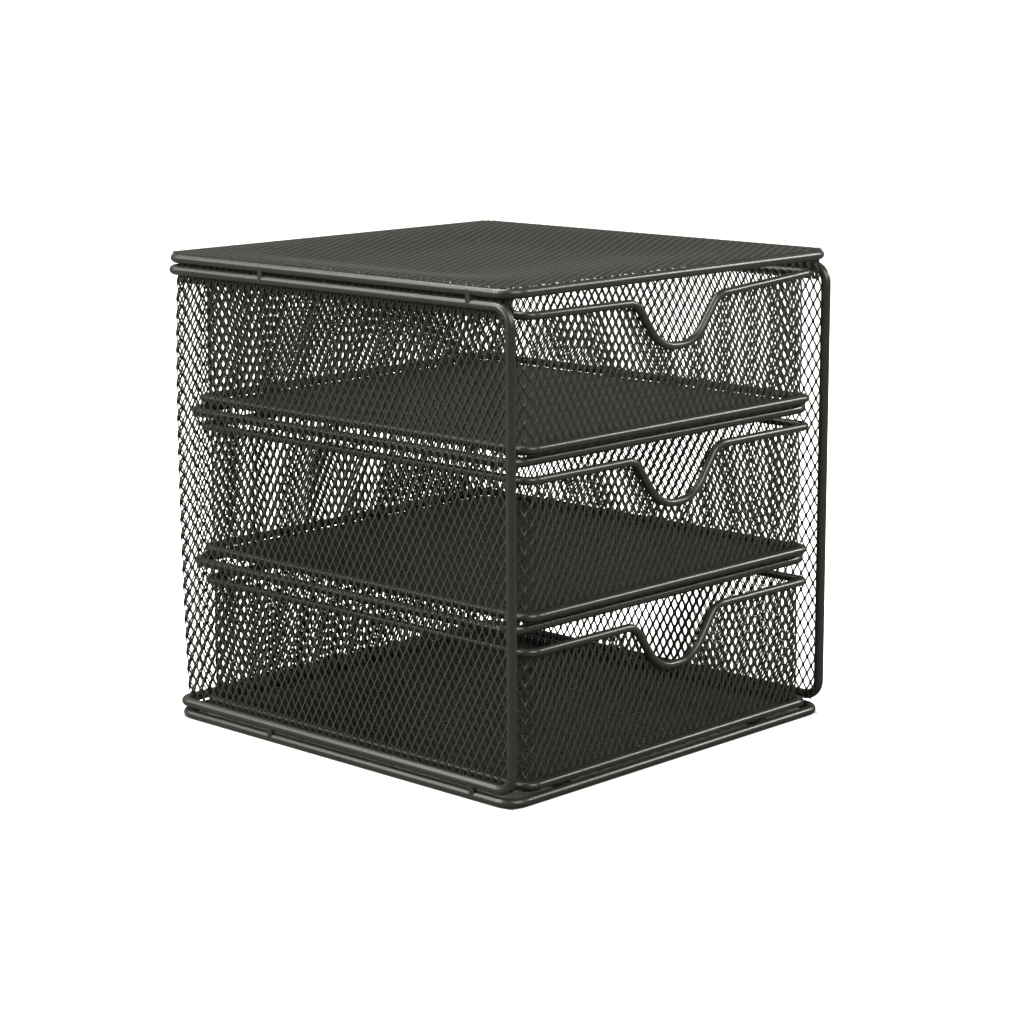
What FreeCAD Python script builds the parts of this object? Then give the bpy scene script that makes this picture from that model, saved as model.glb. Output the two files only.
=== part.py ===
import FreeCAD, Part
import math
import os
import re

import Sketcher
from FreeCAD import Placement, Rotation, Vector

# A desktop cube of three mesh drawers, made of bent wire and expanded metal.
# +Z is up, the drawers face -Y, and the origin is on the floor under the middle of the cube.
# Lengths are in millimetres. A loop's "half width" and "half depth" run to its wire's centre line.

DRIVING_SIZES = {
    # The cabinet, measured over its wires. A bay's pitch runs from one loop's centre line to the
    # next, and the lowest bay has a little extra.
    "cube_width": 223.9,
    "cube_depth": 231.3,
    "bay_pitch": 74.25,
    "lower_bay_extra": 2.25,
    "frame_wire": 4.6,
    "frame_bend": 8.4,
    "edge_rear_bend": 6.5,
    "loop_gap": 1.1,
    "mesh_thickness": 1.5,
    "weld_bite": 0.2,
    "runner_spacing": 140.0,
    "panel_inset": 0.8,
    "panel_bite": 0.3,
    # The short welded bridges between a loop and the edging wire.
    "lug_length": 4.0,
    "lug_thickness": 2.4,
    "lug_bite": 0.6,
    "rear_lug_place": 45.0,
    "front_lug_place": 90.0,
    # The drawers, and the room round each of them.
    "drawer_wire": 3.9,
    "drawer_bend": 5.7,
    "drawer_side_gap": 1.1,
    "drawer_rear_gap": 2.0,
    "rim_gap": 3.55,
    "slide_clearance": 0.3,
    "mesh_lip": 1.0,
    # The finger dip in each drawer's front.
    "dip_top_width": 58.0,
    "dip_base_width": 24.0,
    "dip_depth": 23.0,
    "dip_shoulder_bend": 10.0,
    "dip_base_bend": 20.0,
}

DERIVED_SIZES = {
    "frame_half_width": "(cube_width - frame_wire) / 2",
    "frame_half_depth": "(cube_depth - frame_wire) / 2",
    "base_loop_height": "frame_wire / 2",
    "lower_shelf_height": "base_loop_height + bay_pitch + lower_bay_extra",
    "upper_shelf_height": "lower_shelf_height + bay_pitch",
    "top_loop_height": "upper_shelf_height + bay_pitch",
    "cube_height": "top_loop_height + frame_wire / 2",
    "loop_pitch": "frame_wire + loop_gap",
    "lower_edge_height": "base_loop_height + loop_pitch",
    "upper_edge_height": "top_loop_height - loop_pitch",
    # The cabinet's mesh stands against the inner side of the frame wires.
    "wall_half_width": "frame_half_width - frame_wire / 2 + weld_bite",
    "wall_half_depth": "frame_half_depth - frame_wire / 2 + weld_bite",
    "wall_corner": "frame_bend - frame_wire / 2 + weld_bite",
    # The shelf loops stand against the inner side of the mesh.
    # The sheet is a ring whose front bend, past the legs, is cut away.
    "wall_front": "frame_half_depth + mesh_lip",
    "wall_spare": "wall_corner + frame_wire",
    "wall_height": "upper_edge_height - lower_edge_height + 2 * mesh_lip",
    "wall_ring_half_depth": "(wall_half_depth + wall_front + wall_spare) / 2",
    "wall_ring_middle": "(wall_half_depth - wall_front - wall_spare) / 2",
    "shelf_half_width": "wall_half_width - mesh_thickness - frame_wire / 2 + weld_bite",
    "shelf_back": "wall_half_depth - mesh_thickness - frame_wire / 2 + weld_bite",
    "shelf_front": "frame_half_depth - frame_wire - loop_gap / 2",
    "shelf_half_depth": "(shelf_back + shelf_front) / 2",
    "shelf_middle": "(shelf_back - shelf_front) / 2",
    # A drawer fills the cabinet from the plane of its front wires to just short of the back mesh.
    "drawer_half_width": "shelf_half_width - frame_wire / 2 - drawer_side_gap - drawer_wire / 2",
    "drawer_front": "frame_half_depth",
    "drawer_back": "wall_half_depth - mesh_thickness - drawer_rear_gap - drawer_wire / 2",
    "drawer_half_depth": "(drawer_back + drawer_front) / 2",
    "drawer_middle": "(drawer_back - drawer_front) / 2",
    "band_half_width": "drawer_half_width - drawer_wire / 2 + weld_bite",
    "band_half_depth": "drawer_half_depth - drawer_wire / 2 + weld_bite",
    "band_corner": "drawer_bend - drawer_wire / 2 + weld_bite",
    # Heights above the wires that carry a drawer.
    "floor_sheet_rise": "frame_wire / 2 + slide_clearance",
    "drawer_base_rise": "floor_sheet_rise + mesh_thickness + drawer_wire / 2 - weld_bite",
    "drawer_rim_rise": "bay_pitch - frame_wire / 2 - rim_gap - drawer_wire / 2",
    "drawer_rise": "drawer_rim_rise - drawer_base_rise",
    "band_height": "drawer_rise + drawer_wire / 2 + mesh_lip",
}

document = FreeCAD.newDocument("mesh_drawer_cube")
sizes = document.addObject("Spreadsheet::Sheet", "Sizes")


def fill_sheet():
    """Writes the driving numbers and the formulas that follow from them, each under its alias."""
    row = 1
    for alias, number in DRIVING_SIZES.items():
        sizes.set("A%d" % row, alias)
        sizes.set("B%d" % row, str(number))
        sizes.setAlias("B%d" % row, alias)
        row += 1
    for alias, formula in DERIVED_SIZES.items():
        sizes.set("A%d" % row, alias)
        sizes.set("B%d" % row, "=" + formula)
        sizes.setAlias("B%d" % row, alias)
        row += 1
    document.recompute()


def cell(formula):
    """Turns a formula of aliases into one that other objects can follow."""
    return re.sub("[a-z_]+", lambda alias: "Sizes." + alias.group(), formula)


def size(formula):
    """Works out a formula of aliases with the sheet's present numbers."""
    return float(sizes.evalExpression(cell(formula)))


def bind(thing, bindings):
    """Ties properties to formulas of the sheet's aliases."""
    for name, formula in bindings.items():
        thing.setExpression(name, cell(formula))


# --- building blocks -----------------------------------------------------------------------------


def plane_of(body, role):
    """Finds one of a body's own origin planes."""
    return next(feature for feature in body.Origin.OriginFeatures if feature.Role == role)


def sketch_on(body, role, name):
    """Adds an empty sketch on one of a body's origin planes."""
    sketch = body.newObject("Sketcher::SketchObject", name)
    sketch.AttachmentSupport = (plane_of(body, role), [""])
    sketch.MapMode = "FlatFace"
    return sketch


def dimension(sketch, name, formula, constraint):
    """Adds a named dimension to a sketch and ties it to the sheet."""
    index = sketch.addConstraint(constraint)
    sketch.renameConstraint(index, name)
    sketch.setExpression("Constraints." + name, cell(formula))


def add_rounded_rectangle(sketch, prefix, half_width, half_depth, corner):
    """Draws a centred rectangle with round corners whose three sizes follow the sheet."""
    wide, deep, round_off = [size(formula) for formula in (half_width, half_depth, corner)]
    straight_wide, straight_deep = wide - round_off, deep - round_off
    lines = [
        Part.LineSegment(Vector(-straight_wide, -deep, 0), Vector(straight_wide, -deep, 0)),
        Part.LineSegment(Vector(wide, -straight_deep, 0), Vector(wide, straight_deep, 0)),
        Part.LineSegment(Vector(straight_wide, deep, 0), Vector(-straight_wide, deep, 0)),
        Part.LineSegment(Vector(-wide, straight_deep, 0), Vector(-wide, -straight_deep, 0)),
    ]
    centres = [(1, -1), (1, 1), (-1, 1), (-1, -1)]
    line_ids, arc_ids = [], []
    for number, (side, end) in enumerate(centres):
        line_ids.append(sketch.addGeometry(lines[number]))
        start = math.radians(90 * number - 90)
        circle = Part.Circle(Vector(side * straight_wide, end * straight_deep, 0), Vector(0, 0, 1), round_off)
        arc_ids.append(sketch.addGeometry(Part.ArcOfCircle(circle, start, start + math.pi / 2)))
    for number in range(4):
        following = line_ids[(number + 1) % 4]
        sketch.addConstraint(Sketcher.Constraint("Tangent", line_ids[number], 2, arc_ids[number], 1))
        sketch.addConstraint(Sketcher.Constraint("Tangent", arc_ids[number], 2, following, 1))
    for number in range(1, 4):
        sketch.addConstraint(Sketcher.Constraint("Equal", arc_ids[0], arc_ids[number]))
    sketch.addConstraint(Sketcher.Constraint("Symmetric", line_ids[0], 1, line_ids[0], 2, -2))
    sketch.addConstraint(Sketcher.Constraint("Symmetric", line_ids[1], 1, line_ids[1], 2, -1))
    across = Sketcher.Constraint("Distance", line_ids[3], 1, line_ids[1], 2 * wide)
    along = Sketcher.Constraint("Distance", line_ids[2], 1, line_ids[0], 2 * deep)
    dimension(sketch, prefix + "_width", "2 * ( %s )" % half_width, across)
    dimension(sketch, prefix + "_depth", "2 * ( %s )" % half_depth, along)
    dimension(sketch, prefix + "_corner", corner, Sketcher.Constraint("Radius", arc_ids[0], round_off))


def loop_of_wire(label, half_width, half_depth, bend, wire, middle, height):
    """Makes a closed rounded loop of round wire as a pipe in its own body."""
    body = document.addObject("PartDesign::Body", label)
    path = sketch_on(body, "XY_Plane", label + "_path")
    add_rounded_rectangle(path, "loop", half_width, half_depth, bend)
    section = sketch_on(body, "YZ_Plane", label + "_section")
    centre = Vector(-size(half_depth), 0, 0)
    circle = section.addGeometry(Part.Circle(centre, Vector(0, 0, 1), size(wire) / 2))
    section.addConstraint(Sketcher.Constraint("PointOnObject", circle, 3, -1))
    place = Sketcher.Constraint("DistanceX", circle, 3, -1, 1, size(half_depth))
    dimension(section, "place", half_depth, place)
    dimension(section, "wire", wire, Sketcher.Constraint("Diameter", circle, size(wire)))
    document.recompute()
    pipe = body.newObject("PartDesign::AdditivePipe", label + "_pipe")
    pipe.Profile = section
    pipe.Spine = (path, ["Edge%d" % number for number in range(1, 9)])
    bind(body, {"Placement.Base.y": middle, "Placement.Base.z": height})
    return body


def straight_wire(label, length, wire, side, middle, height):
    """Makes a straight round wire that lies front to back."""
    wire_piece = document.addObject("Part::Cylinder", label)
    bind(wire_piece, {"Radius": wire + " / 2", "Height": length})
    wire_piece.Placement = Placement(Vector(0, 0, 0), Rotation(Vector(1, 0, 0), 90))
    start = "%s + ( %s ) / 2" % (middle, length)
    bind(wire_piece, {"Placement.Base.x": side, "Placement.Base.y": start, "Placement.Base.z": height})
    return wire_piece


def sheet_body(label, half_width, half_depth, corner, thickness, middle, height):
    """Makes a flat rounded sheet as a pad in its own body."""
    body = document.addObject("PartDesign::Body", label)
    outline = sketch_on(body, "XY_Plane", label + "_outline")
    add_rounded_rectangle(outline, "sheet", half_width, half_depth, corner)
    pad = body.newObject("PartDesign::Pad", label + "_pad")
    pad.Profile = outline
    bind(pad, {"Length": thickness})
    bind(body, {"Placement.Base.y": middle, "Placement.Base.z": height})
    return body


def round_edges(body, base, direction, place, bend):
    """Rounds a sheet's edges that run through it at a place, or at its mirror image, seen along them."""
    found = []
    for number, edge in enumerate(base.Shape.Edges):
        run = edge.Vertexes[-1].Point - edge.Vertexes[0].Point
        along = abs(run.dot(direction))
        middle = edge.CenterOfMass
        offset = Vector(abs(middle.x) - place.x, middle.y - place.y, middle.z - place.z)
        across = offset - direction * offset.dot(direction)
        if along > 0.99 * edge.Length and across.Length < size("mesh_thickness") / 10:
            found.append("Edge%d" % (number + 1))
    fillet = body.newObject("PartDesign::Fillet", "%s_fillet" % bend)
    fillet.Base = (base, found)
    bind(fillet, {"Radius": bend})
    document.recompute()
    return fillet


def bent_path(corners, bends, closed):
    """Joins corner points by straight runs with a tangent arc of its own radius at each bend."""
    count = len(corners)
    turning = range(count) if closed else range(1, count - 1)
    entries, exits, arcs = dict(), dict(), dict()
    for number in turning:
        corner = corners[number]
        back = (corners[number - 1] - corner).normalize()
        ahead = (corners[(number + 1) % count] - corner).normalize()
        half_opening = back.getAngle(ahead) / 2
        reach = bends[number] / math.tan(half_opening)
        entries[number], exits[number] = corner + back * reach, corner + ahead * reach
        bisector = (back + ahead).normalize()
        centre = corner + bisector * (bends[number] / math.sin(half_opening))
        middle = centre - bisector * bends[number]
        arcs[number] = Part.Arc(entries[number], middle, exits[number]).toShape()
    edges = []
    for number in range(count if closed else count - 1):
        following = (number + 1) % count
        start = exits.get(number, corners[number])
        edges.append(Part.LineSegment(start, entries.get(following, corners[following])).toShape())
        if following in arcs:
            edges.append(arcs[following])
    return Part.Wire(edges)


def bent_wire(label, corners, bends, wire, closed):
    """Sweeps a round wire along a path that bends in more than one plane."""
    path = document.addObject("Part::Feature", label + "_path")
    path.Shape = bent_path(corners, bends, closed)
    section = document.addObject("Part::Circle", label + "_section")
    bind(section, {"Radius": wire + " / 2"})
    first = path.Shape.OrderedEdges[0]
    start, heading = first.valueAt(first.FirstParameter), first.tangentAt(first.FirstParameter)
    section.Placement = Placement(start, Rotation(Vector(0, 0, 1), heading))
    sweep = document.addObject("Part::Sweep", label)
    sweep.Sections = [section]
    sweep.Spine = (path, ["Edge%d" % (number + 1) for number in range(len(path.Shape.Edges))])
    sweep.Solid = True
    sweep.Frenet = False
    return sweep


# --- the cabinet ---------------------------------------------------------------------------------


def cabinet_loop(label, height):
    """Makes the loop of wire that closes the cabinet's base or its top."""
    return loop_of_wire(label, "frame_half_width", "frame_half_depth", "frame_bend", "frame_wire", "0", height)


def make_runners(prefix, front, back, height):
    """Makes the two wires in a loop's plane that carry a drawer."""
    length = "%s + %s - frame_wire + 2 * weld_bite" % (front, back)
    middle = "( %s - %s ) / 2" % (back, front)
    for name, sign in (("left", "-"), ("right", "")):
        side = sign + "runner_spacing / 2"
        straight_wire("%s_%s_runner" % (prefix, name), length, "frame_wire", side, middle, height)


def make_shelf(prefix, height):
    """Makes a shelf: an open loop of wire with its two runners."""
    loop_of_wire(prefix + "_shelf_wire", "shelf_half_width", "shelf_half_depth", "frame_bend",
                 "frame_wire", "shelf_middle", height)
    make_runners(prefix + "_shelf", "shelf_front", "shelf_back", height)


def make_edging_wire():
    """Makes the one wire that edges the cabinet's mesh: round the top, down the legs and round the base."""
    wide, deep = size("frame_half_width"), size("frame_half_depth")
    top, low = size("upper_edge_height"), size("lower_edge_height")
    corners = [Vector(-wide, deep, top), Vector(-wide, -deep, top), Vector(-wide, -deep, low)]
    corners += [Vector(-wide, deep, low), Vector(wide, deep, low), Vector(wide, -deep, low)]
    corners += [Vector(wide, -deep, top), Vector(wide, deep, top)]
    rear_corners = (0, 3, 4, 7)
    bends = [size("edge_rear_bend" if number in rear_corners else "frame_bend") for number in range(8)]
    return bent_wire("wall_edge_wire", corners, bends, "frame_wire", True)


def make_cabinet_mesh():
    """Makes the cabinet's left, back and right mesh as one bent sheet."""
    label = "wall_mesh"
    body = document.addObject("PartDesign::Body", label)
    outline = sketch_on(body, "XY_Plane", label + "_outline")
    add_rounded_rectangle(outline, "outside", "wall_half_width", "wall_ring_half_depth", "wall_corner")
    add_rounded_rectangle(outline, "inside", "wall_half_width - mesh_thickness",
                          "wall_ring_half_depth - mesh_thickness", "wall_corner - mesh_thickness")
    pad = body.newObject("PartDesign::Pad", label + "_pad")
    pad.Profile = outline
    bind(pad, {"Length": "wall_height"})
    document.recompute()
    front = sketch_on(body, "XY_Plane", label + "_front")
    add_box_outline(front, "frame_half_width", "wall_ring_half_depth + wall_spare",
                    "wall_ring_half_depth - wall_spare")
    opening = body.newObject("PartDesign::Pocket", label + "_opening")
    opening.Profile = front
    opening.Type = "ThroughAll"
    opening.Reversed = True
    document.recompute()
    front_line = size("wall_ring_middle * -1 - wall_front")
    rounded = opening
    for height in (0, size("wall_height")):
        rounded = round_edges(body, rounded, Vector(1, 0, 0), Vector(0, front_line, height), "frame_bend")
    bind(body, {"Placement.Base.y": "wall_ring_middle", "Placement.Base.z": "lower_edge_height - mesh_lip"})
    return body


def add_box_outline(sketch, half_width, front, back):
    """Draws a rectangle, centred across, from a front line to a back line that both lie towards -Y."""
    wide, near, far = size(half_width), -size(front), -size(back)
    points = [Vector(-wide, near, 0), Vector(wide, near, 0), Vector(wide, far, 0), Vector(-wide, far, 0)]
    for number in range(4):
        sketch.addGeometry(Part.LineSegment(points[number], points[(number + 1) % 4]))
    for number in range(4):
        sketch.addConstraint(Sketcher.Constraint("Coincident", number, 2, (number + 1) % 4, 1))
    sketch.addConstraint(Sketcher.Constraint("Symmetric", 0, 1, 0, 2, -2))
    sketch.addConstraint(Sketcher.Constraint("Symmetric", 2, 1, 2, 2, -2))
    sketch.addConstraint(Sketcher.Constraint("Vertical", 1))
    dimension(sketch, "across", "2 * ( %s )" % half_width, Sketcher.Constraint("DistanceX", 0, 1, 0, 2, 2 * wide))
    dimension(sketch, "front", front, Sketcher.Constraint("DistanceY", 0, 1, -1, 1, -near))
    dimension(sketch, "back", back, Sketcher.Constraint("DistanceY", 2, 1, -1, 1, -far))


def make_lugs(prefix, height):
    """Makes the four short bridges that join a loop to the edging wire beside it."""
    for side, sign in (("left", "-"), ("right", "")):
        for end, place in (("rear", "rear_lug_place"), ("front", "-front_lug_place")):
            lug = document.addObject("Part::Box", "%s_%s_%s_lug" % (prefix, side, end))
            bind(lug, {"Length": "lug_thickness", "Width": "lug_length", "Height": "loop_gap + 2 * lug_bite"})
            bind(lug, {"Placement.Base.x": sign + "frame_half_width - lug_thickness / 2",
                       "Placement.Base.y": place + " - lug_length / 2",
                       "Placement.Base.z": height + " - lug_bite"})


def make_cabinet():
    """Makes every fixed piece."""
    cabinet_loop("base_frame_wire", "base_loop_height")
    make_runners("base", "frame_half_depth", "frame_half_depth", "base_loop_height")
    make_edging_wire()
    make_cabinet_mesh()
    cabinet_loop("top_frame_wire", "top_loop_height")
    sheet_body("top_mesh_panel", "frame_half_width - panel_inset", "frame_half_depth - panel_inset",
               "frame_bend - panel_inset", "mesh_thickness", "0", "cube_height - panel_bite")
    make_shelf("upper", "upper_shelf_height")
    make_shelf("lower", "lower_shelf_height")
    make_lugs("top", "upper_edge_height + frame_wire / 2")
    make_lugs("base", "base_loop_height + frame_wire / 2")


# --- the drawers ---------------------------------------------------------------------------------


def make_rim_wire(label, support):
    """Makes a drawer's rim: a loop of wire whose front run dips for the fingers."""
    wide, front, back = size("drawer_half_width"), -size("drawer_front"), size("drawer_back")
    rim = size(support) + size("drawer_rim_rise")
    dip = rim - size("dip_depth")
    shoulder, foot = size("dip_top_width") / 2, size("dip_base_width") / 2
    corners = [Vector(wide, back, rim), Vector(-wide, back, rim), Vector(-wide, front, rim)]
    corners += [Vector(-shoulder, front, rim), Vector(-foot, front, dip)]
    corners += [Vector(foot, front, dip), Vector(shoulder, front, rim), Vector(wide, front, rim)]
    plain, shoulder_bend, base_bend = size("drawer_bend"), size("dip_shoulder_bend"), size("dip_base_bend")
    bends = [plain, plain, plain, shoulder_bend, base_bend, base_bend, shoulder_bend, plain]
    return bent_wire(label, corners, bends, "drawer_wire", True)


def make_drawer_walls(label, support):
    """Makes a drawer's four mesh walls as one bent band with the finger dip cut from its front."""
    body = document.addObject("PartDesign::Body", label)
    outline = sketch_on(body, "XY_Plane", label + "_outline")
    add_rounded_rectangle(outline, "outside", "band_half_width", "band_half_depth", "band_corner")
    add_rounded_rectangle(outline, "inside", "band_half_width - mesh_thickness",
                          "band_half_depth - mesh_thickness", "band_corner - mesh_thickness")
    pad = body.newObject("PartDesign::Pad", label + "_pad")
    pad.Profile = outline
    bind(pad, {"Length": "band_height"})
    document.recompute()
    dip = sketch_on(body, "XZ_Plane", label + "_dip")
    add_dip_outline(dip)
    cut = body.newObject("PartDesign::Pocket", label + "_dip_cut")
    cut.Profile = dip
    cut.Type = "ThroughAll"
    cut.Reversed = True
    document.recompute()
    shoulder = Vector(size("dip_top_width / 2"), 0, size("band_height"))
    foot = Vector(size("dip_base_width / 2"), 0, size("band_height - dip_depth"))
    shoulders = round_edges(body, cut, Vector(0, 1, 0), shoulder, "dip_shoulder_bend")
    round_edges(body, shoulders, Vector(0, 1, 0), foot, "dip_base_bend")
    bind(body, {"Placement.Base.y": "drawer_middle",
                "Placement.Base.z": support + " + floor_sheet_rise + mesh_thickness - weld_bite"})
    return body


def add_dip_outline(sketch):
    """Draws the dip's cut-out: the rim wire's dip, a lip above its centre line, open upwards."""
    top = size("band_height")
    foot_height = size("band_height - dip_depth")
    shoulder, foot = size("dip_top_width / 2"), size("dip_base_width / 2")
    above = top + size("dip_depth")
    points = [Vector(-shoulder, above, 0), Vector(-shoulder, top, 0), Vector(-foot, foot_height, 0)]
    points += [Vector(foot, foot_height, 0), Vector(shoulder, top, 0), Vector(shoulder, above, 0)]
    count = len(points)
    for number in range(count):
        sketch.addGeometry(Part.LineSegment(points[number], points[(number + 1) % count]))
    for number in range(count):
        sketch.addConstraint(Sketcher.Constraint("Coincident", number, 2, (number + 1) % count, 1))
    sketch.addConstraint(Sketcher.Constraint("Vertical", 0))
    sketch.addConstraint(Sketcher.Constraint("Symmetric", 0, 1, 4, 2, -2))
    sketch.addConstraint(Sketcher.Constraint("Symmetric", 0, 2, 3, 2, -2))
    sketch.addConstraint(Sketcher.Constraint("Symmetric", 2, 1, 2, 2, -2))
    width = Sketcher.Constraint("DistanceX", 0, 2, 3, 2, 2 * shoulder)
    dimension(sketch, "shoulder", "dip_top_width", width)
    dimension(sketch, "foot", "dip_base_width", Sketcher.Constraint("DistanceX", 2, 1, 2, 2, 2 * foot))
    dimension(sketch, "rim", "band_height", Sketcher.Constraint("DistanceY", -1, 1, 0, 2, top))
    dimension(sketch, "dip", "band_height - dip_depth",
              Sketcher.Constraint("DistanceY", -1, 1, 2, 1, foot_height))
    dimension(sketch, "above", "band_height + dip_depth",
              Sketcher.Constraint("DistanceY", -1, 1, 0, 1, above))


def make_drawer(name, support):
    """Makes one drawer above the wires whose centre line is at the given height."""
    make_rim_wire(name + "_drawer_rim_wire", support)
    loop_of_wire(name + "_drawer_base_wire", "drawer_half_width", "drawer_half_depth", "drawer_bend",
                 "drawer_wire", "drawer_middle", support + " + drawer_base_rise")
    make_drawer_walls(name + "_drawer_wall_mesh", support)
    sheet_body(name + "_drawer_floor_mesh", "drawer_half_width", "drawer_half_depth", "drawer_bend",
               "mesh_thickness", "drawer_middle", support + " + floor_sheet_rise")


DRAWERS = {
    "upper": "upper_shelf_height",
    "middle": "lower_shelf_height",
    "lower": "base_loop_height",
}


def nodes():
    """Lists the finished pieces, leaving out sketches, paths and sections."""
    finished = ("PartDesign::Body", "Part::Sweep", "Part::Cylinder", "Part::Box")
    return [piece for piece in document.Objects if piece.TypeId in finished]


def check_and_export():
    """Stops on any failed object or bad solid, then writes one STEP file per piece."""
    for thing in document.Objects:
        if "Invalid" in thing.State or "Error" in thing.State:
            raise RuntimeError("%s failed: %s" % (thing.Label, thing.getStatusString()))
    for piece in nodes():
        if piece.Shape.isNull() or not piece.Shape.isValid() or not piece.Shape.Solids:
            raise RuntimeError("%s has no valid solid" % piece.Label)
    os.makedirs("parts", exist_ok=True)
    for piece in nodes():
        piece.Shape.exportStep("parts/%s.step" % piece.Label)


fill_sheet()
make_cabinet()
for drawer_name, drawer_support in DRAWERS.items():
    make_drawer(drawer_name, drawer_support)
document.recompute()
check_and_export()
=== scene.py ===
"""The looks of a desktop cube of three mesh drawers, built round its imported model.

The bent wires keep their CAD shapes and get a powder coat. Each plain mesh sheet is replaced by
real expanded metal: rows of slanted strands that touch side by side at their bonds. Lengths are
in metres in the row frame, with +Z up and the drawers facing -Y.
"""
import logging
import math
from dataclasses import dataclass, field
from enum import Enum
from typing import Callable, Optional, Union

import bmesh
import bpy
import numpy as np
from mathutils import Matrix, Vector


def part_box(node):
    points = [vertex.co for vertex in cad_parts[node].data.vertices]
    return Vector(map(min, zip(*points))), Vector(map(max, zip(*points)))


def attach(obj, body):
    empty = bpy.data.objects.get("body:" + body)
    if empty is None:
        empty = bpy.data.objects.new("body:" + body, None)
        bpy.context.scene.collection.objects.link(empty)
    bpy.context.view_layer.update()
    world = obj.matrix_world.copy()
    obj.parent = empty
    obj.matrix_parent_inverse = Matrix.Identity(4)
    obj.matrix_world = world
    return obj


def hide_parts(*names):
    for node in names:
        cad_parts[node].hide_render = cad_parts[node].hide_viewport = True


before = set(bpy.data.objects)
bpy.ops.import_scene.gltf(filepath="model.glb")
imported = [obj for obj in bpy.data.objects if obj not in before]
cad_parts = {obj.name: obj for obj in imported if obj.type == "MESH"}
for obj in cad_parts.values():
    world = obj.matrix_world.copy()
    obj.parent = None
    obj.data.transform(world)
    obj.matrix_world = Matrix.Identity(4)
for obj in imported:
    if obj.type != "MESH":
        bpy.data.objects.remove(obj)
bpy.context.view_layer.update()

log = logging.getLogger("drawer_cube")

MILLIMETRE = 0.001
# Half the thickness of a CAD sheet that stands upright.
HALF_SHEET = Vector((0.75, 0.75, 0.0)) * MILLIMETRE
# A Mix node has sockets of every type, so its colours are reached by number.
MIX_FIRST_COLOUR = 6
MIX_SECOND_COLOUR = 7
MIX_COLOUR_RESULT = 2

Colour = tuple[float, float, float]


class Slot(Enum):
    """The record's material slots."""

    WIRE = "wire_powder_coat"
    MESH = "mesh_powder_coat"


class Side(Enum):
    """The panels of the cabinet's bent sheet, in the order that the sheet runs round the cube."""

    RIGHT = 0
    BACK = 1
    LEFT = 2


# --- shader building -----------------------------------------------------------------------------


class Value:
    """A number that varies over a surface: an output socket that takes part in sums."""

    def __init__(self, shader: "Shader", socket: Optional[bpy.types.NodeSocket]) -> None:
        """Wraps one output socket of a shader's node."""
        self.shader = shader
        self.socket = socket

    def _sum(self, operation: str, left: "Number", right: "Number") -> "Value":
        """Adds one Math node that joins two numbers."""
        return self.shader.node("ShaderNodeMath", {"operation": operation}, {0: left, 1: right})

    def __add__(self, other: "Number") -> "Value":
        """Adds a number."""
        return self._sum("ADD", self, other)

    def __sub__(self, other: "Number") -> "Value":
        """Takes a number away."""
        return self._sum("SUBTRACT", self, other)

    def __rsub__(self, other: "Number") -> "Value":
        """Takes this away from a number."""
        return self._sum("SUBTRACT", other, self)

    def __mul__(self, other: "Number") -> "Value":
        """Multiplies by a number."""
        return self._sum("MULTIPLY", self, other)

    __radd__ = __add__
    __rmul__ = __mul__


Number = Union[Value, float]


class Shader:
    """A material's node tree with one method for every kind of node."""

    def __init__(self, name: str) -> None:
        """Makes an empty node material with only its output.

        Args:
            name: The material's name.
        """
        self.material = bpy.data.materials.new(name)
        self.material.use_nodes = True
        self.tree = self.material.node_tree
        self.tree.nodes.clear()

    def node(self, kind: str, settings: dict, inputs: dict, output: Union[int, str] = 0) -> Value:
        """Adds a node.

        Args:
            kind: The node's Blender type.
            settings: Properties that are set before the sockets.
            inputs: Values or links by the socket's name or number.
            output: The socket that the result wraps.

        Returns:
            The chosen output, or the first one.
        """
        made = self.tree.nodes.new(kind)
        for name, value in settings.items():
            setattr(made, name, value)
        for name, value in inputs.items():
            if isinstance(value, Value):
                self.tree.links.new(value.socket, made.inputs[name])
            else:
                made.inputs[name].default_value = value
        return Value(self, made.outputs[output] if made.outputs else None)

    def mix_colours(self, share: Value, first: Colour, second: Colour) -> Value:
        """Blends two fixed colours.

        Args:
            share: How much of the second colour there is, from 0 to 1.
            first: The colour at 0.
            second: The colour at 1.

        Returns:
            The blended colour.
        """
        inputs = {0: share, MIX_FIRST_COLOUR: (*first, 1.0), MIX_SECOND_COLOUR: (*second, 1.0)}
        return self.node("ShaderNodeMix", {"data_type": "RGBA"}, inputs, MIX_COLOUR_RESULT)


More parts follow.
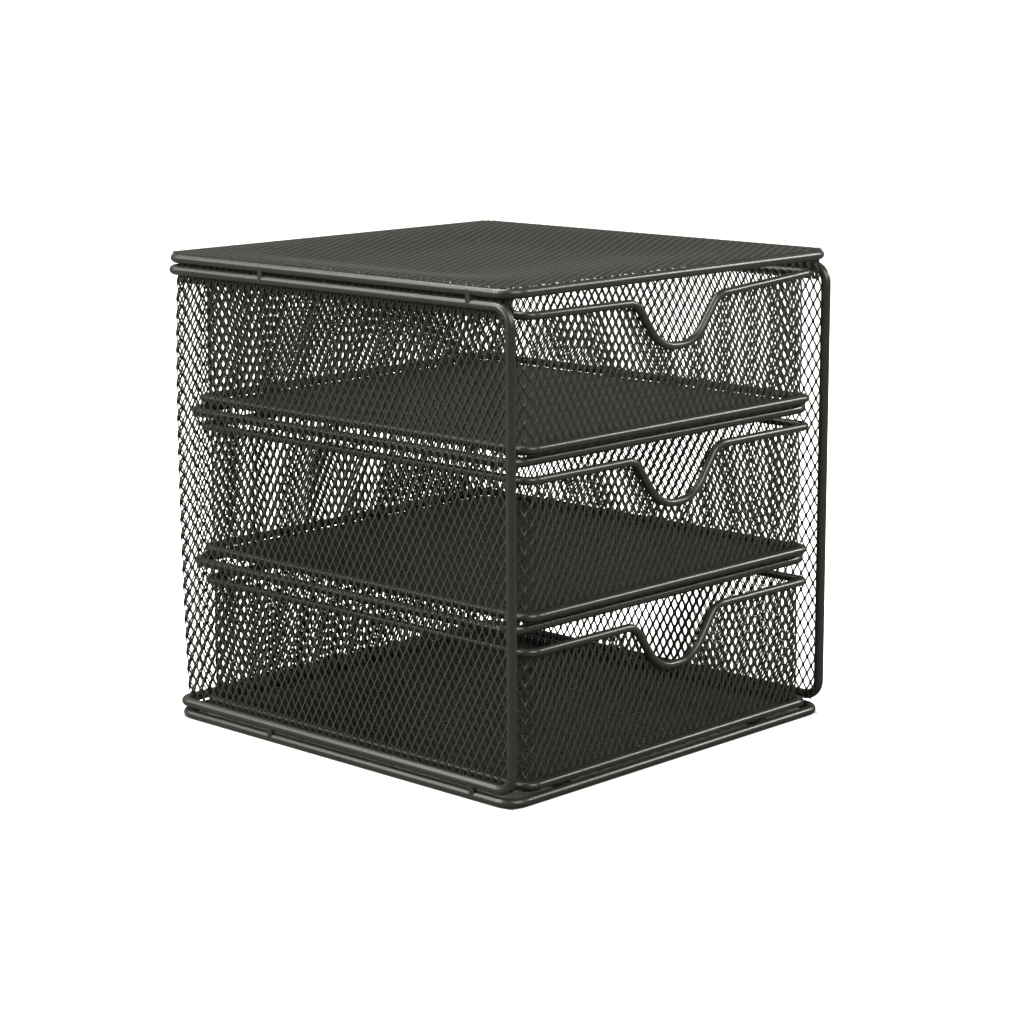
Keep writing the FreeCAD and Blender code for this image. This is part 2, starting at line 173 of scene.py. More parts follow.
@dataclass(frozen=True)
class PowderCoat:
    """A satin powder coat on steel: fine orange peel, slight mottling and a soft gloss."""

    name: str
    colour: Colour
    bright_colour: Colour
    roughness: float = 0.32
    roughness_spread: float = 0.10
    specular: float = 0.5
    peel_size: float = 0.55 * MILLIMETRE
    peel_depth: float = 0.020 * MILLIMETRE
    mottle_size: float = 14.0 * MILLIMETRE
    mottle_share: float = 0.7
    bump_strength: float = 0.35

    def make(self) -> bpy.types.Material:
        """Builds the finish as a node material.

        Returns:
            The new material.
        """
        shader = Shader(self.name)
        place = shader.node("ShaderNodeTexCoord", {}, {}, "Object")
        noise = {"noise_dimensions": "3D"}
        mottle = shader.node("ShaderNodeTexNoise", noise,
                             {"Vector": place, "Scale": 1.0 / self.mottle_size, "Detail": 3.0}, "Fac")
        peel = shader.node("ShaderNodeTexNoise", noise,
                           {"Vector": place, "Scale": 1.0 / self.peel_size, "Detail": 2.0}, "Fac")
        blend = mottle * self.mottle_share + peel * (1.0 - self.mottle_share)
        colour = shader.mix_colours(blend, self.colour, self.bright_colour)
        roughness = self.roughness + (mottle - 0.5) * self.roughness_spread
        bump = shader.node("ShaderNodeBump", {}, {
            "Strength": self.bump_strength, "Distance": self.peel_depth, "Height": peel})
        surface = shader.node("ShaderNodeBsdfPrincipled", {}, {
            "Base Color": colour, "Roughness": roughness, "Metallic": 0.0, "Normal": bump,
            "Specular IOR Level": self.specular})
        shader.node("ShaderNodeOutputMaterial", {}, {"Surface": surface})
        return shader.material


WIRE_COAT = PowderCoat("wire_coat", (0.0150, 0.0154, 0.0126), (0.0215, 0.0219, 0.0180))
MESH_COAT = PowderCoat("mesh_coat", (0.0170, 0.0174, 0.0146), (0.0250, 0.0254, 0.0216), roughness=0.38)


@dataclass(frozen=True)
class StudioPaper:
    """The white lit table that the cube stands on.

    It throws little light up at the cube. Under the cube it shows a painted shadow, grey and with no glow,
    in place of a cast shadow.
    """

    name: str = "studio_paper"
    colour: Colour = (0.96, 0.96, 0.96)
    thrown_colour: Colour = (0.16, 0.16, 0.15)
    # Painted shadow: the grey that the paper shows under the cube in place of a cast shadow.
    painted_shadow_colour: Colour = (0.22, 0.22, 0.21)
    glow: float = 0.82
    painted_shadow_half: tuple[float, float] = (0.1075, 0.1110)
    painted_shadow_edge: float = 6.0 * MILLIMETRE

    def make(self) -> bpy.types.Material:
        """Builds the paper's material.

        Returns:
            The new material.
        """
        shader = Shader(self.name)
        seen = shader.node("ShaderNodeLightPath", {}, {}, "Is Camera Ray")
        place = shader.node("ShaderNodeTexCoord", {}, {}, "Object")
        apart = shader.node("ShaderNodeVectorMath", {"operation": "ABSOLUTE"}, {0: place})
        across = shader.node("ShaderNodeSeparateXYZ", {}, {0: apart}, "X") - self.painted_shadow_half[0]
        along = shader.node("ShaderNodeSeparateXYZ", {}, {0: apart}, "Y") - self.painted_shadow_half[1]
        outside = shader.node("ShaderNodeMath", {"operation": "MAXIMUM"}, {0: across, 1: along})
        # The painted shadow's mask: 0 under the cube's footprint, rising to 1 a few millimetres outside it.
        clear = shader.node("ShaderNodeMapRange", {"interpolation_type": "SMOOTHSTEP"}, {
            "Value": outside, "From Min": 0.0, "From Max": self.painted_shadow_edge})
        paper = shader.mix_colours(clear, self.painted_shadow_colour, self.colour)
        lit = shader.node("ShaderNodeBsdfDiffuse", {}, {"Color": paper})
        # The glow is cut off under the cube as well, so the painted shadow stays grey.
        glow_outside_painted_shadow = shader.mix_colours(clear, (0.0, 0.0, 0.0), (1.0, 1.0, 1.0))
        glow = shader.node("ShaderNodeEmission", {}, {"Color": glow_outside_painted_shadow, "Strength": self.glow})
        both = shader.node("ShaderNodeAddShader", {}, {0: lit, 1: glow})
        thrown = shader.node("ShaderNodeBsdfDiffuse", {}, {"Color": (*self.thrown_colour, 1.0)})
        surface = shader.node("ShaderNodeMixShader", {}, {0: seen, 1: thrown, 2: both})
        shader.node("ShaderNodeOutputMaterial", {}, {"Surface": surface})
        return shader.material


# --- expanded metal ------------------------------------------------------------------------------


@dataclass(frozen=True)
class Cut:
    """Where a row of strands ends: a place along the row, and how fast it changes across rows."""

    place: float
    slope: float = 0.0


RowEnds = Callable[[float], tuple[Cut, Cut]]


@dataclass(frozen=True)
class ExpandedMetal:
    """Raised expanded metal, laid flat: rows run along Y, follow each other along X, and face +Z."""

    long_way: float = 8.35 * MILLIMETRE
    short_way: float = 4.8 * MILLIMETRE
    strand_width: float = 0.90 * MILLIMETRE
    strand_thickness: float = 0.42 * MILLIMETRE
    slant: float = math.radians(16.0)
    bond_length: float = 1.3 * MILLIMETRE

    @property
    def pitch(self) -> float:
        """The distance from one row to the next."""
        return self.short_way / 2

    def _crest(self) -> Vector:
        """How far a strand's middle stands from its row's line where it is bonded to the next row."""
        reach = self.strand_width / 2
        return Vector((self.pitch / 2 - reach * math.cos(self.slant), 0.0, -reach * math.sin(self.slant)))

    def long_row(self, phase: int, low: float, high: float) -> bmesh.types.BMesh:
        """Makes one row of strands that is at least as long as asked.

        Args:
            phase: 0 or 1, because each row is half a long way out of step with the next.
            low: The row's lowest end.
            high: Its highest end.

        Returns:
            A closed wavy bar, to be freed by the caller.
        """
        row = bmesh.new()
        bmesh.ops.create_grid(row, x_segments=1, y_segments=1, size=0.5)
        bmesh.ops.scale(row, vec=(self.strand_width, self.strand_thickness, 1.0), verts=row.verts)
        tilt = Matrix.Rotation(-self.slant, 3, "Y") @ Matrix.Rotation(math.pi / 2, 3, "X")
        bmesh.ops.rotate(row, cent=(0, 0, 0), matrix=tilt, verts=row.verts)
        half = self.long_way / 2
        first = math.floor(low / half) - 1
        last = math.ceil(high / half) + 1
        crest = self._crest()
        here = Vector((0.0, 0.0, 0.0))
        face = row.faces[:][0]
        for number in range(first, last + 1):
            middle = crest if (number + phase) % 2 == 0 else -crest
            for end in (-self.bond_length / 2, self.bond_length / 2):
                there = middle + Vector((0.0, number * half + end, 0.0))
                if number > first or end > 0:
                    grown = bmesh.ops.extrude_face_region(row, geom=[face])["geom"]
                    face = next(part for part in grown if isinstance(part, bmesh.types.BMFace))
                moving = face.verts if number > first or end > 0 else row.verts
                bmesh.ops.translate(row, vec=there - here, verts=list(moving))
                here = there
        bmesh.ops.recalc_face_normals(row, faces=row.faces)
        return row

    @staticmethod
    def cut_end(row: bmesh.types.BMesh, across: float, cut: Cut, upper: bool) -> None:
        """Cuts a row's end on a plane and closes it.

        Args:
            row: The row, on its own line.
            across: The row's place across the sheet. It is not used.
            cut: The plane's place and slope.
            upper: True for the end at the higher place.
        """
        outward = Vector((-cut.slope, 1.0, 0.0)) * (1 if upper else -1)
        parts = row.verts[:] + row.edges[:] + row.faces[:]
        result = bmesh.ops.bisect_plane(row, geom=parts, dist=1e-7, plane_co=(0.0, cut.place, 0.0),
                                        plane_no=outward.normalized(), clear_outer=True)
        rim = [part for part in result["geom_cut"] if isinstance(part, bmesh.types.BMEdge)]
        bmesh.ops.holes_fill(row, edges=rim, sides=0)

    def sheet(self, rows: range, ends: RowEnds) -> bmesh.types.BMesh:
        """Lays rows side by side into a flat sheet.

        Args:
            rows: The rows' numbers. Row 0 lies on the sheet's Y axis.
            ends: Gives a row's two cuts from its place across the sheet.

        Returns:
            The sheet, to be freed by the caller.
        """
        sheet = bmesh.new()
        ready: dict[tuple, bpy.types.Mesh] = {}
        for number in rows:
            across = number * self.pitch
            low, high = ends(across)
            key = (number % 2, low, high)
            if key not in ready:
                row = self.long_row(number % 2, low.place, high.place)
                self.cut_end(row, across, low, False)
                self.cut_end(row, across, high, True)
                ready[key] = bpy.data.meshes.new("row")
                row.to_mesh(ready[key])
                row.free()
            before = len(sheet.verts)
            sheet.from_mesh(ready[key])
            sheet.verts.ensure_lookup_table()
            bmesh.ops.translate(sheet, vec=(across, 0.0, 0.0), verts=sheet.verts[before:])
        for mesh in ready.values():
            bpy.data.meshes.remove(mesh)
        return sheet


FLOOR_METAL = ExpandedMetal(strand_width=1.00 * MILLIMETRE, strand_thickness=0.42 * MILLIMETRE,
                            slant=math.radians(16.0))
TOP_METAL = ExpandedMetal(strand_width=0.84 * MILLIMETRE, strand_thickness=0.26 * MILLIMETRE,
                          slant=math.radians(9.0))
HEM_METAL = ExpandedMetal(strand_width=1.45 * MILLIMETRE, strand_thickness=0.50 * MILLIMETRE,
                          slant=math.radians(-25.0))


@dataclass(frozen=True)
class Round:
    """A rounded outline, seen from above, that a sheet is bent round anticlockwise."""

    low: Vector
    high: Vector
    radius: float

    @property
    def width(self) -> float:
        """The straight length across the front and the back."""
        return self.high.x - self.low.x - 2 * self.radius

    @property
    def depth(self) -> float:
        """The straight length of each side."""
        return self.high.y - self.low.y - 2 * self.radius

    @property
    def bend(self) -> float:
        """The length round one corner."""
        return self.radius * math.pi / 2

    @property
    def length(self) -> float:
        """The whole length round."""
        return 2 * (self.width + self.depth) + 4 * self.bend

    def runs(self) -> list[tuple[float, float, float]]:
        """Lists the straights and bends from the middle of the front, anticlockwise.

        Returns:
            For each run its length, its heading in quarter turns, and its bend radius or 0.
        """
        half = self.width / 2
        listed = [(half, 0, 0.0)]
        for quarter, straight in ((0, self.depth), (1, self.width), (2, self.depth), (3, half)):
            listed += [(self.bend, quarter, self.radius), (straight, quarter + 1, 0.0)]
        return listed

    def wrap(self, points: np.ndarray) -> np.ndarray:
        """Bends a flat sheet round the outline.

        Args:
            points: The sheet's points: length along the outline, height, and distance outwards.

        Returns:
            The same points in the row frame.
        """
        along, height, out = points.T
        placed = np.zeros_like(points)
        here = Vector(((self.low.x + self.high.x) / 2, self.low.y))
        start = 0.0
        runs = self.runs()
        for number, (length, quarter, radius) in enumerate(runs):
            heading = Vector((math.cos(quarter * math.pi / 2), math.sin(quarter * math.pi / 2)))
            right = Vector((heading.y, -heading.x))
            first, last = number == 0, number == len(runs) - 1
            chosen = ((along >= start) | first) & ((along < start + length) | last)
            travel = along[chosen] - start
            if radius:
                turn = travel / radius
                reach = radius + out[chosen]
                centre = here - right * radius
                spread = np.cos(turn)[:, None] * np.array(right) + np.sin(turn)[:, None] * np.array(heading)
                flat = np.array(centre) + reach[:, None] * spread
                here = centre + heading * radius
            else:
                forward = travel[:, None] * np.array(heading)
                flat = np.array(here) + forward + out[chosen, None] * np.array(right)
                here = here + heading * length
            placed[chosen, :2] = flat
            start += length
        placed[:, 2] = height
        return placed


@dataclass(frozen=True)
class Buckle:
    """How far a thin sheet that is held at its top and bottom stands out between them."""

    depth: float
    length: float = 96.0 * MILLIMETRE
    phase: float = 0.6
    lean: float = 2.6

    def reach(self, along: np.ndarray, share: np.ndarray) -> np.ndarray:
        """Gives the distance outwards.

        Args:
            along: Lengths along the sheet.
            share: Heights as shares of the sheet's own, from 0 to 1.

        Returns:
            One distance for each point.
        """
        wave = np.sin(2 * np.pi * along / self.length + self.phase + self.lean * share)
        return self.depth * np.sin(np.pi * share.clip(0, 1)) * (0.5 + 0.5 * wave)


def finish_piece(name: str, shape: bmesh.types.BMesh, body: str, coat: bpy.types.Material,
                 replaced: tuple[str, ...], move: Optional[Callable[[np.ndarray], np.ndarray]] = None,
                 smooth: bool = False) -> bpy.types.Object:
    """Turns a bmesh into a finished piece that rides on a body.

    Args:
        name: The piece's name.
        shape: The geometry, which is freed here.
        body: The CAD body that it moves with.
        coat: Its material.
        replaced: The CAD nodes that it stands for.
        move: Maps the geometry's points to the row frame, if they aren't there yet.
        smooth: True for round pieces.

    Returns:
        The new object.
    """
    mesh = bpy.data.meshes.new(name)
    shape.to_mesh(mesh)
    shape.free()
    if move:
        points = np.empty(len(mesh.vertices) * 3)
        mesh.vertices.foreach_get("co", points)
        mesh.vertices.foreach_set("co", move(points.reshape(-1, 3)).ravel())
    mesh.polygons.foreach_set("use_smooth", [smooth] * len(mesh.polygons))
    mesh.materials.append(coat)
    mesh.update()
    piece = bpy.data.objects.new(name, mesh)
    bpy.context.scene.collection.objects.link(piece)
    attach(piece, body)
    if replaced:
        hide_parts(*replaced)
    log.info("%s: %d faces on %s", name, len(mesh.polygons), body)
    return piece


# --- the cabinet ---------------------------------------------------------------------------------


# The last row at a rounded corner stops a little short of the corner's end, where it has no length.
CORNER_END = 0.98


@dataclass
class FlatPanel:
    """A flat rounded mesh panel whose rows run from left to right and lean to the front."""

    node: str
    body: str
    name: str
    corner: float
    grow: float = 0.0
    metal: ExpandedMetal = field(default_factory=lambda: FLOOR_METAL)

    def rise(self, points: np.ndarray) -> np.ndarray:
        """Gives each point its height over the panel's middle plane, which is nothing for a floor."""
        return np.zeros(len(points))

    def build(self, coat: bpy.types.Material) -> bpy.types.Object:
        """Makes the panel in place of its CAD sheet.

        Args:
            coat: The finish.

        Returns:
            The finished piece.
        """
        low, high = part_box(self.node)
        half_width, half_depth = (high.x - low.x) / 2 + self.grow, (high.y - low.y) / 2 + self.grow
        centre = (low + high) / 2

        def ends(across: float) -> tuple[Cut, Cut]:
            """Gives a row's ends, which draw in round the panel's corners."""
            past = max(0.0, abs(across) - (half_depth - self.corner))
            past = min(past, self.corner * CORNER_END)
            drop = self.corner - math.sqrt(self.corner ** 2 - past ** 2)
            reach = half_width - drop
            return Cut(-reach), Cut(reach)

        def settle(points: np.ndarray) -> np.ndarray:
            """Turns the rows to run along X and lays the sheet in its place."""
            turned = np.stack([-points[:, 1], points[:, 0], points[:, 2]], axis=1)
            turned[:, 2] += self.rise(turned)
            return turned + np.array(centre)

        count = int((half_depth - self.metal.pitch / 2) / self.metal.pitch)
        sheet = self.metal.sheet(range(-count, count + 1), ends)
        return finish_piece(self.name, sheet, self.body, coat, (self.node,), settle)


def ease(distance: np.ndarray, length: float) -> np.ndarray:
    """Rises smoothly from 0 to 1.

    Args:
        distance: Distances from where the rise starts.
        length: How long the rise is.

    Returns:
        One share for each distance.
    """
    share = (distance / length).clip(0, 1)
    return share * share * (3 - 2 * share)


@dataclass
class TopSheet(FlatPanel):
    """The mesh top: it laps over the loop's crown all round and is pressed in a little between."""

    wire_radius: float = 2.3 * MILLIMETRE
    lift: float = 0.35 * MILLIMETRE
    sag: float = 2.5 * MILLIMETRE
    rim: float = 7.0 * MILLIMETRE
    left_slope: float = 34.0 * MILLIMETRE
    other_slope: float = 75.0 * MILLIMETRE

    def rise(self, points: np.ndarray) -> np.ndarray:
        """Follows the loop's crown at the edges and sinks between them.

        Args:
            points: The sheet's points, from the panel's centre.

        Returns:
            Each point's height over the CAD sheet's middle plane.
        """
        low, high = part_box(self.node)
        loop_low, loop_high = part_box("top_frame_wire")
        across, along = points[:, 0], points[:, 1]
        line_x = (loop_high.x - loop_low.x) / 2 - self.wire_radius
        line_y = (loop_high.y - loop_low.y) / 2 - self.wire_radius
        past = np.maximum(np.abs(across) - line_x, np.abs(along) - line_y).clip(0)
        radius = self.wire_radius + self.lift
        turned_down = radius - np.sqrt((radius ** 2 - past ** 2).clip(0))
        pressed = ease(across + line_x - self.rim, self.left_slope)
        for distance in (line_x - across, line_y - along, line_y + along):
            pressed *= ease(distance - self.rim, self.other_slope)
        level = loop_high.z + self.lift - (low.z + high.z) / 2
        return level - turned_down - self.sag * pressed


@dataclass
class CabinetWalls:
    """The cabinet's right, back and left mesh, bent round two corners, with a hem at its top."""

    node: str = "wall_mesh"
    body: str = "cabinet"
    corner: float = 3.0 * MILLIMETRE
    corner_bulge: float = 2.6 * MILLIMETRE
    bulge_width: float = 16.0 * MILLIMETRE
    hem_top: float = 3.2 * MILLIMETRE
    hem_length: float = 10.5 * MILLIMETRE
    hem_gap: float = 0.85 * MILLIMETRE
    metal: ExpandedMetal = field(default_factory=ExpandedMetal)
    buckle: Buckle = field(default_factory=lambda: Buckle(0.9 * MILLIMETRE))

    def build(self, coat: bpy.types.Material) -> list[bpy.types.Object]:
        """Makes the three walls and the hem.

        Args:
            coat: The finish.

        Returns:
            The finished pieces.
        """
        low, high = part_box(self.node)
        # The outline closes a corner's length in front of the sheet's ends, so they are straight.
        outline = Round(low + HALF_SHEET - Vector((0, self.corner, 0)), high - HALF_SHEET, self.corner)
        start = outline.width / 2 + outline.bend + (low.y - outline.low.y - self.corner)
        first_corner = outline.width / 2 + outline.bend + outline.depth + outline.bend / 2
        second_corner = first_corner + outline.bend + outline.width
        stop = outline.length - start
        height = high.z - low.z
        top = height + self.hem_top

        def bend(points: np.ndarray) -> np.ndarray:
            """Buckles the flat sheet, wraps it and lifts it into place."""
            along, share = points[:, 0], points[:, 1] / height
            for corner_place in (first_corner, second_corner):
                near = np.exp(-((along - corner_place) / self.bulge_width) ** 2)
                points[:, 2] += self.corner_bulge * near * np.sin(np.pi * share.clip(0, 1)) ** 0.4
            points[:, 2] += self.buckle.reach(along, share)
            placed = outline.wrap(points)
            placed[:, 2] += low.z
            return placed

        def bend_hem(points: np.ndarray) -> np.ndarray:
            """Puts the turned down hem behind the sheet, half a strand out of step."""
            points[:, 0] += self.metal.pitch / 2
            points[:, 2] -= self.hem_gap
            return bend(points)

        edge = self.metal.pitch / 2 + self.metal.strand_width / 2
        limits = (start + edge, first_corner, second_corner, stop - edge)
        pitch = self.metal.pitch
        built = []
        for side_name in Side:
            begin, end = limits[side_name.value], limits[side_name.value + 1]
            rows = range(math.ceil(begin / pitch), math.ceil(end / pitch))
            sheet = self.metal.sheet(rows, lambda across: (Cut(0.0), Cut(top)))
            name = "wall_mesh_" + side_name.name.lower()
            built.append(finish_piece(name, sheet, self.body, coat, (self.node,), bend))
        rows = range(math.ceil(limits[0] / pitch), math.ceil(limits[-1] / pitch) - 1)
        hem = HEM_METAL.sheet(rows, lambda across: (Cut(top - self.hem_length), Cut(top)))
        built.append(finish_piece("wall_mesh_hem", hem, self.body, coat, (self.node,), bend_hem))
        return built


@dataclass
class WeldLug:
    """A short necked weld that bridges a loop and the edging wire beside it."""

    node: str
    neck: float = 1.6 * MILLIMETRE
    foot: float = 2.9 * MILLIMETRE
    lap: float = 3.1 * MILLIMETRE
    thickness: float = 1.30 * MILLIMETRE
    stand_out: float = 1.00 * MILLIMETRE

    def build(self, coat: bpy.types.Material) -> bpy.types.Object:
        """Makes the weld in place of its CAD block.

        Args:
            coat: The finish.

        Returns:
            The finished piece.
        """
        low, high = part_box(self.node)
        centre = (low + high) / 2
        centre.x += math.copysign(self.stand_out, centre.x)
        reach = (high.z - low.z) / 2 + self.lap
        shape = bmesh.new()
        bmesh.ops.create_uvsphere(shape, u_segments=24, v_segments=20, radius=1.0)
        for vert in shape.verts:
            share = abs(vert.co.z)
            ring = max(1e-9, math.hypot(vert.co.x, vert.co.y))
            outline = (1 - share ** 10) ** 0.5
            width = (self.neck + (self.foot - self.neck) * share ** 1.6) * outline
            depth = self.thickness * (1 - share ** 16) ** 0.5
            side, face = vert.co.y / ring, vert.co.x / ring
            flat_face = math.copysign(abs(face) ** 0.5, face)
            flat_side = math.copysign(abs(side) ** 0.8, side)
            vert.co = Vector((flat_face * depth, flat_side * width, vert.co.z * reach))
        bmesh.ops.translate(shape, vec=centre, verts=shape.verts)
        bmesh.ops.recalc_face_normals(shape, faces=shape.faces)
        name = self.node.replace("lug", "weld")
        return finish_piece(name, shape, "cabinet", coat, (self.node,), smooth=True)


@dataclass
class RunnerWelds:
    """The flattened beads where a runner is spot welded across a loop's front and back."""

    node: str
    length: float = 3.4 * MILLIMETRE
    depth: float = 1.1 * MILLIMETRE
    height: float = 1.7 * MILLIMETRE

    def build(self, coat: bpy.types.Material) -> bpy.types.Object:
        """Makes both beads of one runner.

        Args:
            coat: The finish.

        Returns:
            The finished piece.
        """
        level = self.node.split("_")[0]
        loop = "base_frame_wire" if level == "base" else level + "_shelf_wire"
        loop_low, loop_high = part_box(loop)
        low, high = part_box(self.node)
        middle = (low + high) / 2
        shape = bmesh.new()
        for place in (loop_low.y + self.depth, loop_high.y - self.depth):
            bead = bmesh.ops.create_uvsphere(shape, u_segments=16, v_segments=10, radius=1.0)["verts"]
            bmesh.ops.scale(shape, vec=(self.length, self.depth, self.height), verts=bead)
            bmesh.ops.translate(shape, vec=(middle.x, place, middle.z), verts=bead)
        bmesh.ops.recalc_face_normals(shape, faces=shape.faces)
        return finish_piece(self.node + "_welds", shape, "cabinet", coat, (), smooth=True)


# --- the drawers ---------------------------------------------------------------------------------


@dataclass(frozen=True)
class FingerDip:
    """The curve of a drawer front's finger dip, as heights from the straight rim."""

    top_half: float = 29.0 * MILLIMETRE
    base_half: float = 12.0 * MILLIMETRE
    depth: float = 23.0 * MILLIMETRE
    shoulder: float = 10.0 * MILLIMETRE
    foot: float = 20.0 * MILLIMETRE

    def height(self, across: float) -> float:
        """Gives the rim's height at a place along the drawer's front.

        Args:
            across: The distance to either side of the dip's middle.

        Returns:
            The height from the straight rim, which is 0 or below.
        """
        across = abs(across)
        angle = math.atan2(self.depth, self.top_half - self.base_half)
        foot_start = self.base_half - self.foot * math.tan(angle / 2)
        foot_end = foot_start + self.foot * math.sin(angle)
        shoulder_end = self.top_half + self.shoulder * math.tan(angle / 2)
        shoulder_start = shoulder_end - self.shoulder * math.sin(angle)
        if across < foot_start:
            return -self.depth
        if across < foot_end:
            return -self.depth + self.foot - math.sqrt(self.foot ** 2 - (across - foot_start) ** 2)
        if across < shoulder_start:
            return -self.depth + (across - self.base_half) * math.tan(angle)
        if across < shoulder_end:
            return -self.shoulder + math.sqrt(self.shoulder ** 2 - (shoulder_end - across) ** 2)
        return 0.0

    def cut(self, across: float, rim: float) -> Cut:
        """Gives the cut of a row of strands at the rim.

        Args:
            across: The row's distance to either side of the dip's middle.
            rim: The straight rim's height.

        Returns:
            The place and slope of the cut.
        """
        step = 0.1 * MILLIMETRE
        slope = (self.height(across + step) - self.height(across - step)) / (2 * step)
        return Cut(rim + self.height(across), slope)


@dataclass(frozen=True)
class RimDroop:
    """How far a drawer's thin rim wire hangs below level: the frame is sprung a little out of true."""

    # Pairs of a place from left to right and its droop there, in millimetres.
    front: tuple[tuple[float, float], ...] = (
        (-98.0, 2.6), (-33.0, 3.1), (0.0, 3.2), (36.0, 4.0), (94.0, 0.2))
    back: float = 2.2

    def at(self, across: np.ndarray, share: np.ndarray) -> np.ndarray:
        """Gives the droop at the rim.

        Args:
            across: Places from left to right.
            share: Places from the front to the back, from 0 to 1.

        Returns:
            One distance for each point.
        """
        places, drops = np.array(self.front).T * MILLIMETRE
        front = np.interp(across, places, drops)
        return front * (1 - share) + self.back * MILLIMETRE * share


@dataclass
class Drawer:
    """One pull-out drawer: its mesh walls and floor on their wires."""

    name: str
    droop: Optional[RimDroop] = None
    wall_corner: float = 3.2 * MILLIMETRE
    floor_corner: float = 5.7 * MILLIMETRE
    metal: ExpandedMetal = field(default_factory=ExpandedMetal)
    dip: FingerDip = field(default_factory=FingerDip)
    buckle: Buckle = field(default_factory=lambda: Buckle(0.7 * MILLIMETRE, 81.0 * MILLIMETRE))

    def build(self, coat: bpy.types.Material, wire_coat: bpy.types.Material) -> list[bpy.types.Object]:
        """Makes the drawer's pieces.

        Args:
            coat: The mesh's finish.
            wire_coat: The wires' finish.

        Returns:
            The finished pieces.
        """
        floor = FlatPanel(self.name + "_floor_mesh", self.name, self.name + "_mesh_floor",
                          self.floor_corner)
        pieces = [self.build_walls(coat), floor.build(coat)]
        if self.droop:
            pieces.append(self.build_rim(wire_coat))
        return pieces

    def settle(self, points: np.ndarray) -> np.ndarray:
        """Lets points sink by the rim's droop, in proportion to their height over the floor wire.

        Args:
            points: Points of the drawer, which are changed.

        Returns:
            The same points.
        """
        if not self.droop:
            return points
        base_low, base_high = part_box(self.name + "_base_wire")
        rim_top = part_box(self.name + "_rim_wire")[1].z
        base = (base_low.z + base_high.z) / 2
        share = ((points[:, 1] - base_low.y) / (base_high.y - base_low.y)).clip(0, 1)
        rise = ((points[:, 2] - base) / (rim_top - base)).clip(0, 1)
        points[:, 2] -= self.droop.at(points[:, 0], share) * rise
        return points

    def build_rim(self, coat: bpy.types.Material) -> bpy.types.Object:
        """Makes the rim wire as it hangs, from a copy of its CAD wire's shape.

        Args:
            coat: The wires' finish.

        Returns:
            The finished piece.
        """
        node = self.name + "_rim_wire"
        shape = bmesh.new()
        shape.from_mesh(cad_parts[node].data)
        bmesh.ops.remove_doubles(shape, verts=shape.verts, dist=1e-6)
        return finish_piece(self.name + "_sprung_rim", shape, self.name, coat, (node,),
                            self.settle, smooth=True)

    def build_walls(self, coat: bpy.types.Material) -> bpy.types.Object:
        """Makes the four walls as one bent sheet with the dip cut from its front.

        Args:
            coat: The mesh's finish.

        Returns:
            The finished piece.
        """
        node = self.name + "_wall_mesh"
        low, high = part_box(node)
        outline = Round(low + HALF_SHEET, high - HALF_SHEET, self.wall_corner)
        height = high.z - low.z
        count = 2 * round(outline.length / self.metal.short_way)
        stretch = outline.length / (count * self.metal.pitch)
        laid_length = outline.length / stretch

        def ends(across: float) -> tuple[Cut, Cut]:
            """Gives a row the walls' height, or the dip's near the middle of the front."""
            from_middle = min(across, laid_length - across)
            signed = across if across <= laid_length / 2 else across - laid_length
            if from_middle > self.dip.top_half + self.dip.shoulder:
                return Cut(0.0), Cut(height)
            return Cut(0.0), self.dip.cut(signed, height)

        def bend(points: np.ndarray) -> np.ndarray:
            """Buckles the flat sheet, wraps it and lifts it into place."""
            points[:, 0] *= stretch
            points[:, 0] %= outline.length
            points[:, 2] += self.buckle.reach(points[:, 0], points[:, 1] / height)
            placed = outline.wrap(points)
            placed[:, 2] += low.z
            return self.settle(placed)

        sheet = self.metal.sheet(range(count), ends)
        return finish_piece(self.name + "_mesh_walls", sheet, self.name, coat, (node,), bend)


# --- the studio ----------------------------------------------------------------------------------


@dataclass(frozen=True)
class Softbox:
    """A square light: its place, the length of its side, and its power in watts."""

    name: str
    place: tuple[float, float, float]
    size: float
    power: float


SOFTBOXES = (
    Softbox("over", (-0.5, 0.7, 1.9), 1.2, 64.0),
    Softbox("key", (-1.45, 1.15, 1.15), 1.3, 34.0),
    Softbox("front", (-0.4, -1.9, 1.5), 1.5, 50.0),
    Softbox("left", (-1.6, 0.5, 0.8), 0.8, 12.0),
    Softbox("fill", (1.7, -1.1, 1.0), 0.5, 24.0),
)


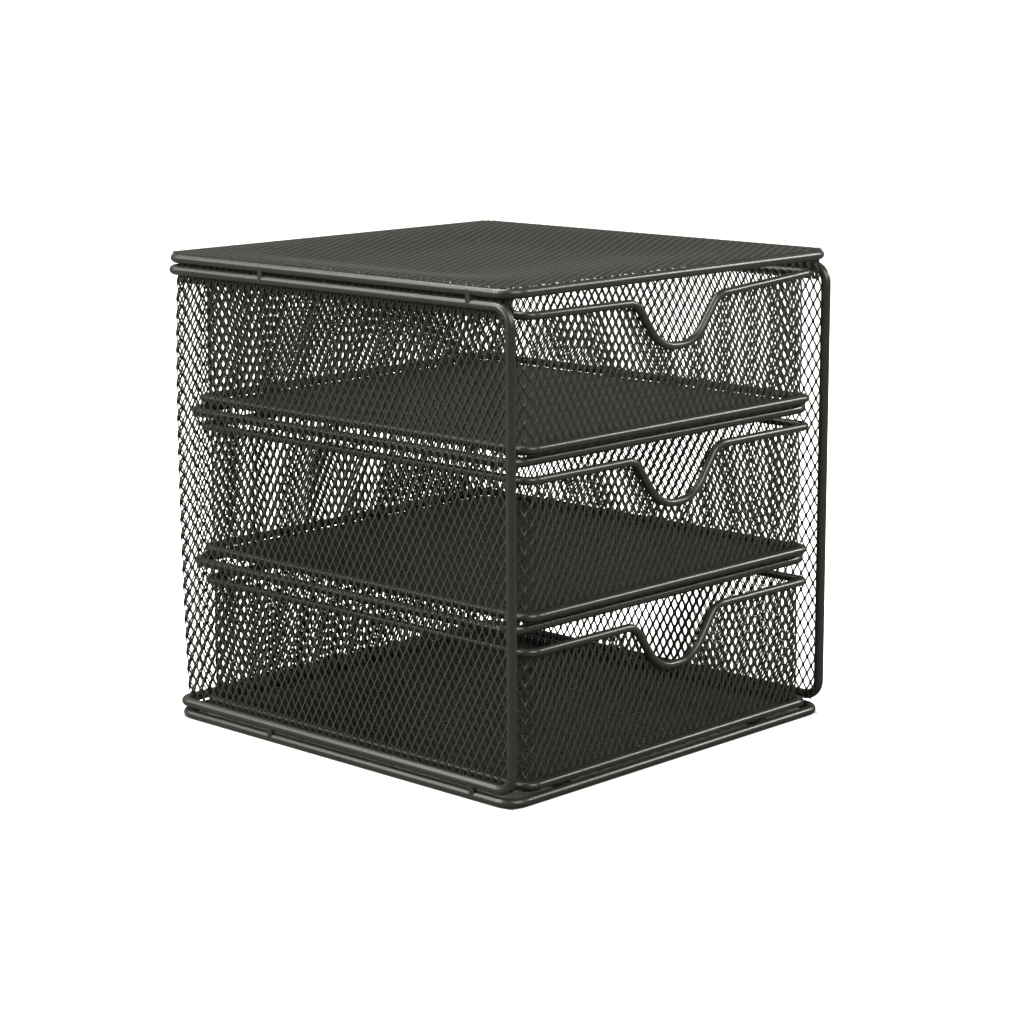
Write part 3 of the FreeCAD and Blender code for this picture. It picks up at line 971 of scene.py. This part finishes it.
@dataclass
class Studio:
    """The camera, the floor and the soft lights."""

    azimuth: float = -45.97
    elevation: float = 11.352
    roll: float = -0.292
    distance: float = 1.31768
    lens: float = 94.864
    target: tuple[float, float, float] = (0.00051, 0.0, 0.10309)
    shift: tuple[float, float] = (0.01228, -0.00224)
    tint: Colour = (1.0, 0.985, 0.92)
    ambient: float = 0.28
    paper_half: float = 60.0
    sensor: float = 36.0

    def camera(self) -> None:
        """Sets up the camera."""
        angles = (self.azimuth, self.elevation, self.roll)
        azimuth, elevation, roll = (math.radians(angle) for angle in angles)
        back = Vector((math.sin(azimuth) * math.cos(elevation), -math.cos(azimuth) * math.cos(elevation),
                       math.sin(elevation)))
        right = (-back).cross(Vector((0, 0, 1))).normalized()
        up = right.cross(-back)
        turned_right = right * math.cos(roll) + up * math.sin(roll)
        turned_up = up * math.cos(roll) - right * math.sin(roll)
        data = bpy.data.cameras.new("camera")
        data.lens = self.lens
        data.sensor_width = self.sensor
        data.shift_x, data.shift_y = self.shift
        camera = bpy.data.objects.new("camera", data)
        bpy.context.scene.collection.objects.link(camera)
        turn = Matrix((turned_right, turned_up, back)).transposed().to_4x4()
        camera.matrix_world = Matrix.Translation(Vector(self.target) + back * self.distance) @ turn
        bpy.context.scene.camera = camera

    def floor(self) -> None:
        """Lays the seamless paper."""
        shape = bmesh.new()
        bmesh.ops.create_grid(shape, x_segments=1, y_segments=1, size=self.paper_half)
        mesh = bpy.data.meshes.new("paper")
        shape.to_mesh(mesh)
        shape.free()
        mesh.materials.append(StudioPaper().make())
        paper = bpy.data.objects.new("paper", mesh)
        bpy.context.scene.collection.objects.link(paper)

    def hang(self, softbox: Softbox) -> None:
        """Hangs one softbox so that it faces the cube.

        Args:
            softbox: Its place, size and power.
        """
        data = bpy.data.lights.new(softbox.name, "AREA")
        data.shape = "SQUARE"
        data.size = softbox.size
        data.energy = softbox.power
        data.color = self.tint
        light = bpy.data.objects.new(softbox.name, data)
        bpy.context.scene.collection.objects.link(light)
        aim = Vector(self.target) - Vector(softbox.place)
        turn = aim.to_track_quat("-Z", "Y").to_matrix().to_4x4()
        light.matrix_world = Matrix.Translation(softbox.place) @ turn

    def lights(self) -> None:
        """Sets the white surroundings and the softboxes."""
        world = bpy.data.worlds.new("studio")
        world.use_nodes = True
        nodes, links = world.node_tree.nodes, world.node_tree.links
        nodes.clear()
        output = nodes.new("ShaderNodeOutputWorld")
        mix = nodes.new("ShaderNodeMixShader")
        for number, (colour, strength) in enumerate(((self.tint, self.ambient), ((1.0, 1.0, 1.0), 1.0))):
            background = nodes.new("ShaderNodeBackground")
            background.inputs["Color"].default_value = (*colour, 1.0)
            background.inputs["Strength"].default_value = strength
            links.new(background.outputs[0], mix.inputs[1 + number])
        links.new(nodes.new("ShaderNodeLightPath").outputs["Is Camera Ray"], mix.inputs[0])
        links.new(mix.outputs[0], output.inputs[0])
        bpy.context.scene.world = world
        for softbox in SOFTBOXES:
            self.hang(softbox)
        bpy.context.scene.view_settings.view_transform = "Standard"

    def build(self) -> None:
        """Sets up everything that isn't part of the object."""
        self.camera()
        self.floor()
        self.lights()


def dress_wires(coat: bpy.types.Material) -> None:
    """Gives every wire that the CAD model shows its powder coat.

    Args:
        coat: The finish.
    """
    for name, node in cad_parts.items():
        if not node.hide_render:
            node.data.materials.clear()
            node.data.materials.append(coat)
            log.info("%s keeps its shape and gets %s", name, coat.name)


def main() -> None:
    """Builds the studio and then every piece of the cube, in order."""
    logging.basicConfig(level=logging.INFO, format="%(name)s: %(message)s")
    Studio().build()
    wire_coat, mesh_coat = WIRE_COAT.make(), MESH_COAT.make()
    CabinetWalls().build(mesh_coat)
    TopSheet("top_mesh_panel", "cabinet", "top_mesh_sheet", 9.6 * MILLIMETRE, 2.0 * MILLIMETRE,
             TOP_METAL).build(mesh_coat)
    for name in list(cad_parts):
        if name.endswith("_lug"):
            WeldLug(name).build(wire_coat)
        if name.endswith("_runner"):
            RunnerWelds(name).build(wire_coat)
    Drawer("upper_drawer", RimDroop()).build(mesh_coat, wire_coat)
    Drawer("middle_drawer").build(mesh_coat, wire_coat)
    Drawer("lower_drawer").build(mesh_coat, wire_coat)
    dress_wires(wire_coat)


if __name__ == "__main__":
    main()
